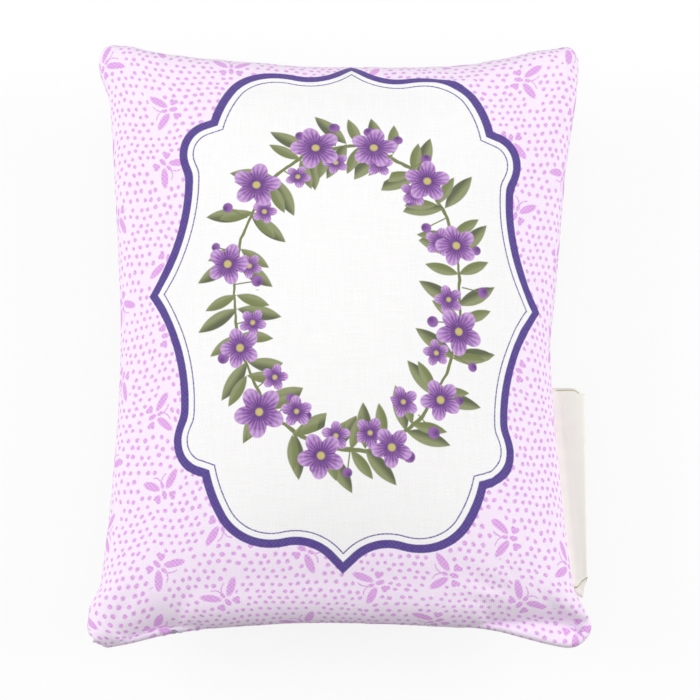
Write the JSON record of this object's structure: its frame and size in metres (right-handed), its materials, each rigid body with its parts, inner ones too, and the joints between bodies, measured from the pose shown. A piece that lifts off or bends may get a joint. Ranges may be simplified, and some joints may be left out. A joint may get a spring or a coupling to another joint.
{
  "type": "lavender pillow",
  "caption": "Small scented pillow: plump printed cotton cover with drawn-in sides, a folded tape tag that flaps at a side seam, and fibre filling round a pouch of dried lavender buds.",
  "frame": {"origin": "middle of the pillow's outline, at the bottom of the flat place on its back panel where it rests", "axes": "+X across the front to the viewer's right, where the tag is; +Y up the front; +Z out of the printed front"},
  "size_m": [0.1212, 0.1526, 0.0478],
  "materials": {
    "printed_cotton": "matte",
    "back_cotton": "matte",
    "thread": "satin",
    "tape": "satin",
    "fibre": "matte",
    "muslin": "matte",
    "dried_buds": "matte"
  },
  "bodies": {
    "pillow": {"front_panel": "printed_cotton", "back_panel": "back_cotton", "seam_needle_thread": "thread", "seam_bobbin_thread": "thread", "closing_thread": "thread", "tag_root": "tape", "front_fibre_pad": "fibre", "back_fibre_pad": "fibre", "pouch_front_cloth": "muslin", "pouch_back_cloth": "muslin", "pouch_needle_thread": "thread", "pouch_bobbin_thread": "thread", "lavender_buds": "dried_buds"},
    "tag": {"tag_loop": "tape"}
  },
  "joints": [
    {"name": "tag_flap", "type": "hinge", "parent": "pillow", "child": "tag", "pos_m": [0.05626, -0.0375, 0.02265], "axis": [-0.0758, 0.9971, 0], "range_deg": [-85, 85], "stiffness_Nm_per_rad": 0.00002}
  ]
}
